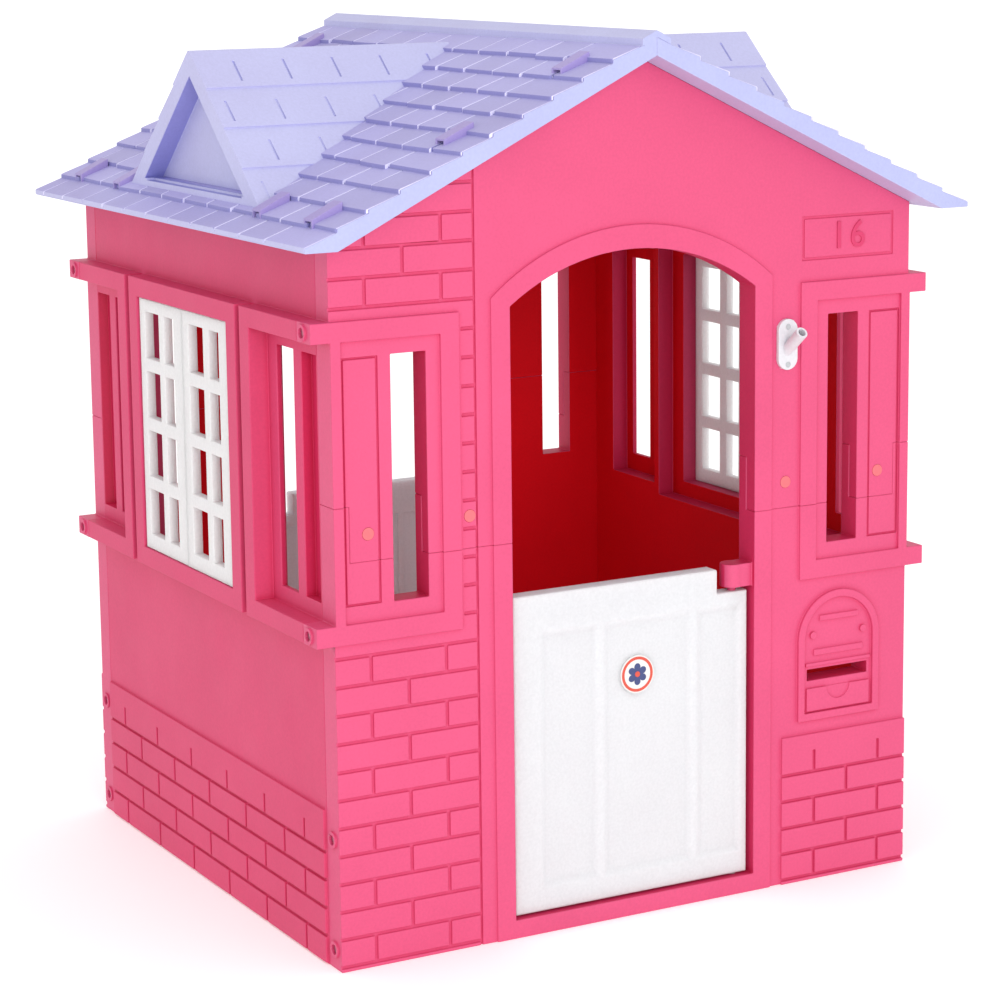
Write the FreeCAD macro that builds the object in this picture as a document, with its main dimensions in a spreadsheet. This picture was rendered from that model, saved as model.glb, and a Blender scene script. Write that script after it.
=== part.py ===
"""Blow-moulded plastic playhouse: two gable walls in lapped halves, two side walls, a two-part roof
with dormers, swinging half doors, hinged shutters and their fasteners.

Frame: the origin is the middle of the footprint on the floor, +Z is up, the front wall faces -Y and
the left side wall is at -X. All sizes are millimetres.
"""
import FreeCAD, Part
import math
import os
import re
import Sketcher

SIZES = {
    # walls
    "half_width": 460,
    "half_depth": 426.5,
    "gable_thick": 38,
    "side_thick": 36,
    "lap_bottom": 556,
    "lap_top": 631,
    "lap_end": 436,
    "groove_depth": 3,
    "groove_width": 4.5,
    "relief": 4,
    "panel_line": 3,
    # roof
    "roof_half_width": 518,
    "roof_half_depth": 485.5,
    "roof_slope": 0.486,
    "roof_base_ridge": 1226,
    "roof_under_ridge": 1201.5,
    "eave_bottom": 972,
    "butt": 5,
    "course_run": 45,
    "shingle_width": 80.9,
    "ridge_cap_rise": 9,
    "ridge_cap_half": 22,
    # dormers
    "dormer_face": 463,
    "dormer_inner": 55,
    "dormer_half": 231,
    "dormer_foot": 1003,
    "dormer_apex": 1206,
    "dormer_step": 3,
    "dormer_skirt": 12,
    "dormer_recess_half": 175,
    "dormer_recess_foot": 1017,
    "dormer_recess_apex": 1171,
    "dormer_recess_depth": 30,
    # doorway and half door
    "door_half": 195,
    "threshold": 26,
    "arch_spring": 876,
    "arch_rise": 64.5,
    "band_half": 224,
    "band_spring": 889,
    "band_rise": 84.5,
    "band_relief": 3,
    "door_gap": 4,
    "door_top": 478,
    "door_shoulder": 443,
    "door_notch": 138,
    "door_thick": 28,
    "door_recess": 5,
    "hinge_inset": 25,
    "hinge_edge_radius": 21.5,
    "hinge_arm_bottom": 449,
    "hinge_arm_top": 482,
    "hinge_arm_reach": 41.5,
    "hinge_pin_radius": 6,
    "foot_peg_radius": 7,
    "running_gap": 0.05,
    # windows
    "frame_bottom": 448,
    "frame_top": 875,
    "rail": 27,
    "slot_bottom": 498,
    "slot_top": 827,
    "front_slot_inner": 320.5,
    "front_slot_outer": 372,
    "front_panel_inner": 391,
    "front_panel_outer": 444,
    "front_frame_inner": 272,
    "front_field_inner": 300,
    "front_field_outer": 445,
    "bay_proud": 28,
    "bay_web": 8,
    "bay_groove_inner": 191,
    "bay_groove_outer": 205,
    "side_field_inner": 236,
    "side_slot_inner": 263,
    "side_slot_outer": 316,
    "side_bar_outer": 340,
    "side_channel_outer": 387,
    "channel_depth": 16,
    # shutters
    "shutter_half": 159.5,
    "shutter_gap": 0.5,
    "shutter_thick": 14,
    "shutter_sink": 2,
    "pane_first": 30,
    "pane_narrow": 35,
    "pane_wide": 51,
    "pane_post": 19,
    "pane_bottom": 499,
    "pane_height": 68,
    "pane_rise": 87,
    "peg_radius": 4,
    "peg_length": 10,
    # letter box
    "box_middle": 340.7,
    "box_half": 70.5,
    "box_bottom": 239,
    "box_spring": 357,
    "box_rim": 11,
    "mail_slot_half": 52.5,
    "mail_slot_bottom": 297,
    "mail_slot_top": 313.5,
    # fasteners
    "screw_head_radius": 6,
    "screw_head_height": 3.5,
    "screw_radius": 2.5,
    "plug_radius": 8.4,
    "plug_thick": 2,
    "boss_radius": 11.5,
    "boss_proud": 3,
    "tab_gap": 0.5,
}

doc = FreeCAD.newDocument("playhouse")
sheet = doc.addObject("Spreadsheet::Sheet", "sizes")
for row, (alias, value) in enumerate(SIZES.items(), start=1):
    sheet.set(f"A{row}", alias)
    sheet.set(f"B{row}", str(value))
    sheet.setAlias(f"B{row}", alias)
doc.recompute()

nodes = []
FACING = {
    "x": FreeCAD.Rotation(FreeCAD.Vector(0, 1, 0), 90),
    "y": FreeCAD.Rotation(FreeCAD.Vector(1, 0, 0), -90),
    "z": FreeCAD.Rotation(),
}
PLANES = {
    "xz": (FreeCAD.Rotation(FreeCAD.Vector(1, 0, 0), 90), FreeCAD.Vector(0, 1, 0)),
    "yz": (FreeCAD.Rotation(FreeCAD.Vector(1, 1, 1), 120), FreeCAD.Vector(1, 0, 0)),
}
HALF_TURN = FreeCAD.Rotation(FreeCAD.Vector(0, 0, 1), 180)


def bind(thing, prop, formula):
    """Tie one property to a formula on the sheet."""
    words = re.sub(r"[a-z_]+", lambda word: f"sizes.{word.group()}" if word.group() in SIZES else word.group(),
                   str(formula))
    thing.setExpression(prop, words)


def box(name, x, y, z):
    """A box between three pairs of limits."""
    solid = doc.addObject("Part::Box", name)
    for prop, axis, (low, high) in (("Length", "x", x), ("Width", "y", y), ("Height", "z", z)):
        bind(solid, prop, f"({high}) - ({low})")
        bind(solid, f"Placement.Base.{axis}", low)
    return solid


def rod(name, axis, radius, place, span):
    """A cylinder along axis between the limits in span; place is its two other coordinates."""
    solid = doc.addObject("Part::Cylinder", name)
    solid.Placement.Rotation = FACING[axis]
    bind(solid, "Radius", radius)
    bind(solid, "Height", f"({span[1]}) - ({span[0]})")
    others = [word for word in "xyz" if word != axis]
    bind(solid, f"Placement.Base.{axis}", span[0])
    bind(solid, f"Placement.Base.{others[0]}", place[0])
    bind(solid, f"Placement.Base.{others[1]}", place[1])
    return solid


def prism(name, plane, outlines, span):
    """Closed straight-sided outlines drawn in plane and carried along its normal over span."""
    turn, normal = PLANES[plane]
    sketch = doc.addObject("Sketcher::SketchObject", f"{name}_outline")
    sketch.Placement.Rotation = turn
    for outline in outlines:
        first = sketch.GeometryCount
        count = len(outline)
        ring = [FreeCAD.Vector(math.cos(2 * math.pi * step / count), math.sin(2 * math.pi * step / count), 0)
                for step in range(count)]
        for step in range(count):
            sketch.addGeometry(Part.LineSegment(ring[step], ring[(step + 1) % count]))
        for step, (across, up) in enumerate(outline):
            following = first + (step + 1) % count
            sketch.addConstraint(Sketcher.Constraint("Coincident", first + step, 2, following, 1))
            for kind, formula, start in (("DistanceX", across, ring[step].x), ("DistanceY", up, ring[step].y)):
                number = sketch.addConstraint(Sketcher.Constraint(kind, -1, 1, first + step, 1, start))
                bind(sketch, f"Constraints[{number}]", formula)
    solid = doc.addObject("Part::Extrusion", name)
    solid.Base = sketch
    solid.DirMode = "Custom"
    solid.Dir = normal
    solid.Solid = True
    bind(solid, "LengthFwd", f"({span[1]}) - ({span[0]})")
    bind(solid, f"Placement.Base.{'y' if plane == 'xz' else 'x'}", span[0])
    return solid


def union(name, pieces):
    """Several solids as one."""
    pieces = list(pieces)
    if len(pieces) == 1:
        return pieces[0]
    whole = doc.addObject("Part::MultiFuse", name)
    whole.Shapes = pieces
    whole.Refine = True
    return whole


def common(name, pieces):
    """What several solids share."""
    shared = doc.addObject("Part::MultiCommon", name)
    shared.Shapes = list(pieces)
    return shared


def less(name, base, tools):
    """A solid with the tools cut away."""
    rest = doc.addObject("Part::Cut", name)
    rest.Base = base
    rest.Tool = union(f"{name}_tools", tools)
    rest.Refine = True
    return rest


def group(name, pieces):
    """Separate identical solids kept together as one node."""
    together = doc.addObject("Part::Compound", name)
    together.Links = list(pieces)
    return together


def node(name, piece, turned=False):
    """Name a finished sub-part, and turn it half round Z for the far side of the house."""
    piece.Label = name
    if turned:
        piece.Placement = FreeCAD.Placement(FreeCAD.Vector(), HALF_TURN)
    nodes.append(piece)


def sided(low, high, side):
    """A pair of limits, or its mirror image where side is -1."""
    if side > 0:
        return (low, high)
    return (f"-({high})", f"-({low})")


def around(middle, half):
    """The pair of limits at equal distance on each side of a middle."""
    return (f"({middle}) - ({half})", f"({middle}) + ({half})")


# Faces of the front wall, which looks towards -Y.
OUTER = "-half_depth"
INNER = "gable_thick - half_depth"
MID = "gable_thick / 2 - half_depth"


def arch(name, half, bottom, spring, rise, span):
    """A doorway shape: straight jambs under a flat circular arch."""
    radius = f"(({half})^2 + ({rise})^2) / (2 * ({rise}))"
    crown = common(f"{name}_crown", [
        rod(f"{name}_round", "y", radius, ("0", f"({spring}) + ({rise}) - {radius}"), span),
        box(f"{name}_head", (f"-({half})", half), span, (spring, f"({spring}) + ({rise}) + 1")),
    ])
    return union(name, [box(f"{name}_jambs", (f"-({half})", half), span, (bottom, spring)), crown])


# Course lines and joints of the brick relief. The left column runs past a window, where only the
# ends of its bricks show, and goes on above it.
COURSE = 38.4
LEFT_FIRST_LINE = 7
LEFT_LOW_COURSES = 12
LEFT_WINDOW_COURSES = 11
LEFT_TOP_LINE = 891
LEFT_TOP_COURSES = 5
LEFT_BRICKS_IN = 247.5
LEFT_JOINTS = ((408, 296), (352.5,))
LEFT_WINDOW_BRICKS_OUT = 268
RIGHT_BRICKS_IN = 243
RIGHT_JOINTS = ((299, 411.5), (355.7,))
RIGHT_BRICK_LINES = (7, 46, 84, 124, 162.5)
RIGHT_BRICK_TOP = 219
RIGHT_TOP_JOINT = 32


def grooves(name, lines, joints, across, depth_span):
    """Mortar grooves of a brick field: one level line under each course, and its upright joints."""
    low, high = across
    cuts = []
    for number, line in enumerate(lines):
        cuts.append(box(f"{name}_bed_{number}", (low, high), depth_span,
                        around(line, "groove_width / 2")))
    for number, (line, following) in enumerate(zip(lines, lines[1:])):
        for place, joint in enumerate(joints[number % 2]):
            cuts.append(box(f"{name}_joint_{number}_{place}", around(joint, "groove_width / 2"), depth_span,
                            (line, following)))
    return cuts


def left_brick_cuts(name):
    """The brick column at the left of the doorway, from the floor to the gable."""
    depth_span = (f"{OUTER} - 1", f"{OUTER} + groove_depth")
    joints = tuple(tuple(-place for place in row) for row in LEFT_JOINTS)
    low_lines = [LEFT_FIRST_LINE + COURSE * number for number in range(LEFT_LOW_COURSES)]
    cuts = grooves(f"{name}_low", low_lines, joints, ("-half_width - 1", -LEFT_BRICKS_IN), depth_span)
    for number in range(LEFT_WINDOW_COURSES):
        line = LEFT_FIRST_LINE + COURSE * (LEFT_LOW_COURSES + number)
        cuts.append(box(f"{name}_frame_{number}", (-LEFT_WINDOW_BRICKS_OUT, -LEFT_BRICKS_IN), depth_span,
                        around(line, "groove_width / 2")))
    top_lines = [LEFT_TOP_LINE + COURSE * number for number in range(LEFT_TOP_COURSES)]
    cuts += grooves(f"{name}_top", top_lines, joints, ("-half_width - 1", -LEFT_BRICKS_IN), depth_span)
    cuts.append(box(f"{name}_edge", around(-LEFT_BRICKS_IN, "groove_width / 3"), depth_span,
                    (0, top_lines[-1] + COURSE)))
    return cuts


def right_brick_cuts(name):
    """The raised brick patch at the right of the doorway."""
    depth_span = (f"{OUTER} - relief - 1", OUTER)
    lines = list(RIGHT_BRICK_LINES)
    cuts = grooves(name, lines, RIGHT_JOINTS, (RIGHT_BRICKS_IN, "half_width + 1"), depth_span)
    for number, joint in enumerate(RIGHT_JOINTS[0]):
        cuts.append(box(f"{name}_stub_{number}", around(joint, "groove_width / 2"), depth_span,
                        (RIGHT_BRICK_LINES[-1], RIGHT_BRICK_LINES[-1] + RIGHT_TOP_JOINT)))
    return cuts


def window_relief(name, side):
    """Raised frame and rails around a narrow front window, running past the corner."""
    whole = box(f"{name}_face", sided("front_frame_inner", "half_width", side),
                (f"{OUTER} - relief", MID), ("frame_bottom", "frame_top"))
    rails = []
    for word, low in (("lower", "frame_bottom"), ("upper", "frame_top - rail")):
        rails.append(box(f"{name}_{word}_rail", sided("front_field_outer", "half_width + bay_proud", side),
                         (f"{OUTER} - relief", INNER), (low, f"{low} + rail")))
    field = box(f"{name}_field", sided("front_field_inner", "front_field_outer", side),
                (f"{OUTER} - relief - 1", OUTER), ("frame_bottom + rail", "frame_top - rail"))
    return union(name, [less(f"{name}_framed", whole, [field])] + rails)


def window_cuts(name, side):
    """The see-through slot, and the groove that draws a fixed shutter beside it."""
    slot = box(f"{name}_slot", sided("front_slot_inner", "front_slot_outer", side),
               (f"{OUTER} - 20", f"{INNER} + 1"), ("slot_bottom", "slot_top"))
    panel = box(f"{name}_panel", sided("front_panel_inner", "front_panel_outer", side),
                (f"{OUTER} - 1", f"{OUTER} + groove_depth"), ("slot_bottom", "slot_top"))
    core = box(f"{name}_core", sided("front_panel_inner + panel_line", "front_panel_outer - panel_line", side),
               (f"{OUTER} - 2", f"{OUTER} + groove_depth + 1"),
               ("slot_bottom + panel_line", "slot_top - panel_line"))
    return [slot, less(f"{name}_panel_groove", panel, [core])]


# Raised details inside the letter box rim.
LETTER_BARS = (((308, 375), (384, 392)), ((298, 384), (334, 343)))
LETTER_STUDS = ((297, 364), (384, 364))
LETTER_STUD_RADIUS = 5
LETTER_LIP_HALF = 56.5
LETTER_LIP = ("mail_slot_top + 5", "mail_slot_top + 10")
LETTER_FLAP_HALF = 55
LETTER_FLAP = (252, 286)
LETTER_NOTCH_RADIUS = 20


def letter_box(name):
    """The raised rim, bars and flap moulded round the letter slot."""
    face = f"{OUTER} - relief"
    pieces = []
    for word, inset in (("rim", "0"), ("hollow", "box_rim")):
        span = (f"{face} - 1", "-half_depth + 1") if word == "rim" else (f"{face} - 9", OUTER)
        half = f"box_half - {inset}"
        pieces.append(union(f"{name}_{word}", [
            box(f"{name}_{word}_body", around("box_middle", half), span,
                (f"box_bottom + {inset}", "box_spring")),
            rod(f"{name}_{word}_top", "y", half, ("box_middle", "box_spring"), span),
        ]))
    rim = less(f"{name}_ring", pieces[0], [pieces[1]])
    detail_span = (f"{OUTER} - groove_depth", "-half_depth + 1")
    details = [box(f"{name}_lip", around("box_middle", LETTER_LIP_HALF), detail_span, LETTER_LIP)]
    for number, (across, upright) in enumerate(LETTER_BARS):
        details.append(box(f"{name}_bar_{number}", across, detail_span, upright))
    for number, place in enumerate(LETTER_STUDS):
        details.append(rod(f"{name}_stud_{number}", "y", LETTER_STUD_RADIUS, place, detail_span))
    flap = box(f"{name}_flap_blank", around("box_middle", LETTER_FLAP_HALF), detail_span, LETTER_FLAP)
    notch = rod(f"{name}_flap_notch", "y", LETTER_NOTCH_RADIUS, ("box_middle", LETTER_FLAP[1]),
                (f"{OUTER} - 9", f"{OUTER} - 1"))
    return [rim, less(f"{name}_flap", flap, [notch])] + details


# Screws through the wall corners, at the same heights on every corner, and the side wall's tabs that
# they go through. Screws above the threshold height stand on the window rails.
CORNER_HEIGHTS = (28, 180, 461.5, 861.5)
RAIL_SCREWS_ABOVE = 400
TAB_HALF = 20
TAB_FROM_FACE = (8.5, 33.5)
TAB_PAST_SCREW = 10.5
CORNER_Y = "half_depth - gable_thick / 2"


def corner_face(height):
    """How far out the screw boss stands: on the rails, or on the wall itself."""
    if height > RAIL_SCREWS_ABOVE:
        return "half_width + bay_proud"
    return "half_width"


def corner_holes(name):
    """Screw holes and tab pockets in both ends of a gable wall."""
    cuts = []
    for side in (-1, 1):
        for height in CORNER_HEIGHTS:
            label = f"{name}_{'left' if side < 0 else 'right'}_{round(height)}"
            face = corner_face(height)
            cuts.append(box(f"{label}_pocket", sided(f"half_width - {TAB_FROM_FACE[1]} - tab_gap",
                                                     f"half_width - {TAB_FROM_FACE[0]} + tab_gap", side),
                            (f"-({CORNER_Y}) - {TAB_PAST_SCREW} - tab_gap", f"{INNER} + 1"),
                            around(height, TAB_HALF + 1)))
            cuts.append(rod(f"{label}_shank", "x", "screw_radius + 0.5", (f"-({CORNER_Y})", height),
                            sided("half_width - 9", f"{face} + 9", side)))
            cuts.append(rod(f"{label}_bore", "x", "screw_head_radius + 1", (f"-({CORNER_Y})", height),
                            sided(f"{face} - screw_head_height - 1", f"{face} + 9", side)))
    return cuts


def corner_bosses(name):
    """Round bosses that stand out round the corner screws."""
    bosses = []
    for side in (-1, 1):
        for height in CORNER_HEIGHTS:
            face = corner_face(height)
            bosses.append(rod(f"{name}_{'left' if side < 0 else 'right'}_{round(height)}", "x", "boss_radius",
                              (f"-({CORNER_Y})", height), sided(f"{face} - 4", f"{face} + boss_proud", side)))
    return bosses


# Where the roof's hooks stand: along each slope over the gables, and beside each dormer. The tab under
# a hook near the eave stands further in than the hook's middle, so that it stays on the wall.
HOOK_RUNS = (87, 263, 455)
TAB_RUNS = (87, 263, 435)
SIDE_HOOK_RUN = 456
SIDE_TAB_RUN = 442
SIDE_HOOK_Y = 250
HOOK_HALF_RUN = 22
HOOK_HALF_WIDE = 13
HOOK_RISE = 13
HOOK_ROOT = -2
HOOK_WALL = 3
HOOK_SIDE_WALL = 4
HOOK_BACK_WALL = 5
TAB_WIDE = 7
TAB_RUN = 9
TAB_ROOT = 20
TAB_RISE = 5


def roof_tabs(name):
    """Tabs on top of a gable wall that catch in the roof's hooks."""
    tabs = []
    for side in (-1, 1):
        for number, run in enumerate(TAB_RUNS):
            tabs.append(box(f"{name}_{'left' if side < 0 else 'right'}_{number}",
                            sided(f"{run} - {TAB_RUN}", f"{run} + {TAB_RUN}", side),
                            around(f"-({CORNER_Y})", TAB_WIDE),
                            (f"roof_under_ridge - roof_slope * {run} - {TAB_ROOT}",
                             f"roof_base_ridge - roof_slope * {run} + {TAB_RISE}")))
    return tabs


# Screws and plugs along the lap between the halves of a gable wall.
SEAM_SCREWS = ((-409, 592.5), (-258, 600), (248.6, 593), (408, 593.5))
SEAM_SHANK_END = 30


def seam_holes(name):
    """Stepped holes for the screws and plugs along the lap."""
    cuts = []
    for number, place in enumerate(SEAM_SCREWS):
        cuts.append(rod(f"{name}_shank_{number}", "y", "screw_radius + 0.1", place,
                        (f"{OUTER} - 1", f"{OUTER} + {SEAM_SHANK_END + 1}")))
        cuts.append(rod(f"{name}_head_{number}", "y", "plug_radius + 0.2", place,
                        (f"{OUTER} - 9", f"{OUTER} + plug_thick + screw_head_height")))
    return cuts


HINGE_ARM_HALF = 15
HINGE_ARM_ROOF = 5
FOOT_PEG_LENGTH = 12


def hinge_arm(name):
    """The lug on the right jamb that holds the door's upper pin."""
    pin_x = "door_half - hinge_inset"
    arm_z = ("hinge_arm_bottom", "hinge_arm_top")
    beam = box(f"{name}_beam", (pin_x, "door_half + 10"), around(MID, HINGE_ARM_HALF), arm_z)
    return union(name, [beam, rod(f"{name}_eye", "z", "hinge_arm_reach - hinge_inset", (pin_x, MID), arm_z)])


NUMBER_PLATE_ACROSS = (275, 431.5)
NUMBER_PLATE_UPRIGHT = (905, 967)
NUMBER_PLATE_LINE = 4
NUMBER_PLATE_DEEP = 2


def gable_wall(word, is_front):
    """One gable wall as its lower and upper mouldings."""
    wall_top = "roof_under_ridge - roof_slope * half_width"
    panel = prism(f"{word}_panel", "xz", [(
        ("-half_width", "0"), ("half_width", "0"), ("half_width", wall_top),
        ("0", "roof_under_ridge"), ("-half_width", wall_top))], (OUTER, INNER))
    band_span = (f"{OUTER} - band_relief", MID)
    raised = [
        arch(f"{word}_band", "band_half", "0", "band_spring", "band_rise", band_span),
        box(f"{word}_bricks", (RIGHT_BRICKS_IN, "half_width"), (f"{OUTER} - relief", MID),
            (0, RIGHT_BRICK_TOP)),
        window_relief(f"{word}_left_frame", -1),
        window_relief(f"{word}_right_frame", 1),
    ]
    raised += corner_bosses(f"{word}_boss")
    raised += roof_tabs(f"{word}_tab")
    if is_front:
        raised += letter_box("letter_box")
    solid = union(f"{word}_solid", [panel] + raised)
    cuts = [arch(f"{word}_doorway", "door_half", "threshold", "arch_spring", "arch_rise",
                 (f"{OUTER} - 20", f"{INNER} + 1"))]
    cuts += left_brick_cuts(f"{word}_column")
    cuts += right_brick_cuts(f"{word}_patch")
    cuts += window_cuts(f"{word}_left_window", -1)
    cuts += window_cuts(f"{word}_right_window", 1)
    cuts += corner_holes(f"{word}_corner")
    cuts += seam_holes(f"{word}_seam")
    cuts.append(rod(f"{word}_foot_hole", "z", "foot_peg_radius + running_gap", ("door_half - hinge_inset", MID),
                    (f"threshold - {FOOT_PEG_LENGTH + 1}", "threshold + 1")))
    if is_front:
        cuts.append(box("mail_slot", around("box_middle", "mail_slot_half"), (f"{OUTER} - 9", f"{INNER} + 1"),
                        ("mail_slot_bottom", "mail_slot_top")))
        number_plate = box("number_plate", NUMBER_PLATE_ACROSS,
                           (f"{OUTER} - 1", f"{OUTER} + {NUMBER_PLATE_DEEP}"), NUMBER_PLATE_UPRIGHT)
        across, upright = ((low + NUMBER_PLATE_LINE, high - NUMBER_PLATE_LINE)
                           for low, high in (NUMBER_PLATE_ACROSS, NUMBER_PLATE_UPRIGHT))
        number_field = box("number_field", across,
                           (f"{OUTER} - 2", f"{OUTER} + {NUMBER_PLATE_DEEP + 1}"), upright)
        cuts.append(less("number_plate_groove", number_plate, [number_field]))
        cuts += flag_screw_holes("flag_pilot", "screw_radius - 0.9")
    blank = less(f"{word}_blank", solid, cuts)
    armed = less(f"{word}_armed", union(f"{word}_with_arm", [blank, hinge_arm(f"{word}_arm")]), [
        rod(f"{word}_pin_hole", "z", "hinge_pin_radius", ("door_half - hinge_inset", MID),
            ("hinge_arm_bottom - 1", f"hinge_arm_top - {HINGE_ARM_ROOF}"))])
    low_region = less(f"{word}_low_region", box(f"{word}_low_half", (-600, 600), (-600, 0), (-10, "lap_top")), [
        box(f"{word}_lap", ("-lap_end", "lap_end"), (-600, MID), ("lap_bottom", 700))])
    node(f"{word}_wall_lower", common(f"{word}_lower", [armed, low_region]), not is_front)
    node(f"{word}_wall_upper", less(f"{word}_upper", armed, [low_region]), not is_front)


# The flag holder stands beside the right front window.
FLAG_X = 248
FLAG_LOW = 770
FLAG_HIGH = 810
FLAG_HALF = 16
FLAG_PLATE = 6
FLAG_TUBE_Z = 780
FLAG_TILT = 38
FLAG_TUBE_RADIUS = 8.5
FLAG_BORE_RADIUS = 5.5
FLAG_TUBE_LENGTH = 50
FLAG_BORE_START = 14
FLAG_BORE_PAST = 9
FLAG_SCREWS = (761.5, 815)
FLAG_SCREW_LENGTH = 18
FLAG_HEAD_DEEP = 2


def flag_screw_holes(name, radius):
    """Holes for the flag holder's two screws."""
    return [rod(f"{name}_{number}", "y", radius, (FLAG_X, height),
                (f"{OUTER} - 20", f"{OUTER} + {FLAG_SCREW_LENGTH + 3}"))
            for number, height in enumerate(FLAG_SCREWS)]


def flag_holder():
    """A rounded plate with a hollow tube that leans out and up."""
    span = (f"{OUTER} - {FLAG_PLATE}", OUTER)
    plate = [box("flag_plate", around(FLAG_X, FLAG_HALF), span, (FLAG_LOW, FLAG_HIGH))]
    plate += [rod(f"flag_end_{height}", "y", FLAG_HALF, (FLAG_X, height), span)
              for height in (FLAG_LOW, FLAG_HIGH)]
    tilt = FreeCAD.Rotation(FreeCAD.Vector(1, 0, 0), 90 - FLAG_TILT)
    tubes = []
    for word, radius, start, end in (
            ("tube", FLAG_TUBE_RADIUS, 0, FLAG_TUBE_LENGTH),
            ("bore", FLAG_BORE_RADIUS, FLAG_BORE_START, FLAG_TUBE_LENGTH + FLAG_BORE_PAST)):
        tube = doc.addObject("Part::Cylinder", f"flag_{word}")
        bind(tube, "Radius", radius)
        bind(tube, "Height", end - start)
        along = tilt.multVec(FreeCAD.Vector(0, 0, start))
        tube.Placement = FreeCAD.Placement(FreeCAD.Vector(FLAG_X, along.y, FLAG_TUBE_Z + along.z), tilt)
        bind(tube, "Placement.Base.y", f"-half_depth + ({along.y})")
        tubes.append(tube)
    back = box("flag_back", (FLAG_X - 40, FLAG_X + 40), (OUTER, f"{OUTER} + 40"), (700, 860))
    holes = flag_screw_holes("flag_clear", "screw_radius - 0.8")
    holes += [rod(f"flag_sink_{number}", "y", "screw_radius + 1.7", (FLAG_X, height),
                  (f"{OUTER} - 20", f"{OUTER} - {FLAG_PLATE - FLAG_HEAD_DEEP}"))
              for number, height in enumerate(FLAG_SCREWS)]
    node("flag_holder", less("flag_body", union("flag_solid", plate + [tubes[0]]), [tubes[1], back] + holes))
    screws = []
    for number, height in enumerate(FLAG_SCREWS):
        shank = rod(f"flag_shank_{number}", "y", "screw_radius - 1", (FLAG_X, height),
                    (f"{OUTER} - {FLAG_PLATE} + 1", f"{OUTER} + {FLAG_SCREW_LENGTH}"))
        head = rod(f"flag_head_{number}", "y", "screw_radius + 1.5", (FLAG_X, height),
                   (f"{OUTER} - {FLAG_PLATE}", f"{OUTER} - {FLAG_PLATE - FLAG_HEAD_DEEP}"))
        screws.append(union(f"flag_screw_{number}", [shank, head]))
    node("flag_holder_screws", group("flag_screws", screws))


def seam_fasteners(word, turned):
    """Screws along the lap of a gable wall, and the plugs that hide them."""
    screws = []
    plugs = []
    for number, place in enumerate(SEAM_SCREWS):
        head_y = f"{OUTER} + plug_thick"
        screws.append(union(f"{word}_seam_screw_{number}", [
            rod(f"{word}_seam_head_{number}", "y", "screw_head_radius", place,
                (head_y, f"{head_y} + screw_head_height")),
            rod(f"{word}_seam_shank_{number}", "y", "screw_radius", place,
                (head_y, f"{OUTER} + {SEAM_SHANK_END}")),
        ]))
        plugs.append(rod(f"{word}_seam_plug_{number}", "y", "plug_radius", place,
                         (f"{OUTER} - 0.6", f"{OUTER} + plug_thick")))
    node(f"{word}_seam_screws", group(f"{word}_seam_screw_set", screws), turned)
    node(f"{word}_seam_plugs", group(f"{word}_seam_plug_set", plugs), turned)


def corner_screws(side):
    """The screws through the corners of one side of the house."""
    word = "left" if side < 0 else "right"
    screws = []
    for end in (-1, 1):
        for height in CORNER_HEIGHTS:
            label = f"{word}_{'front' if end < 0 else 'back'}_{round(height)}"
            face = corner_face(height)
            place = (f"{end} * ({CORNER_Y})", height)
            screws.append(union(f"{label}_screw", [
                rod(f"{label}_head", "x", "screw_head_radius", place,
                    sided(f"{face} - screw_head_height - 1", f"{face} - 1", side)),
                rod(f"{label}_thread", "x", "screw_radius", place,
                    sided("half_width - 30", f"{face} - 2", side)),
            ]))
    node(f"{word}_corner_screws", group(f"{word}_corner_screw_set", screws))


SIDE_BRICK_LINES = (0, 41, 80, 119, 158)
SIDE_BRICK_TOP = 216
SIDE_TOP_JOINT = 30
SIDE_BRICK_LENGTH = 129.6
SIDE_BRICK_END = 386


def side_bays(name):
    """Three framed window bays that stand out from a side wall."""
    outer = ("half_width - side_thick + bay_proud", "half_width + bay_proud")
    whole = box(f"{name}_whole", outer, ("gable_thick - half_depth", "half_depth - gable_thick"),
                ("frame_bottom", "frame_top"))
    deep = ("half_width", "half_width + bay_proud + 1")
    cuts = []
    for end in (-1, 1):
        word = "front" if end < 0 else "back"
        cuts.append(box(f"{name}_{word}_groove", deep, sided("bay_groove_inner", "bay_groove_outer", end),
                        ("frame_bottom - 1", "frame_top + 1")))
        cuts.append(box(f"{name}_{word}_field", deep, sided("side_field_inner", "half_depth", end),
                        ("frame_bottom + rail", "frame_top - rail")))
    return less(name, whole, cuts)


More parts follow.
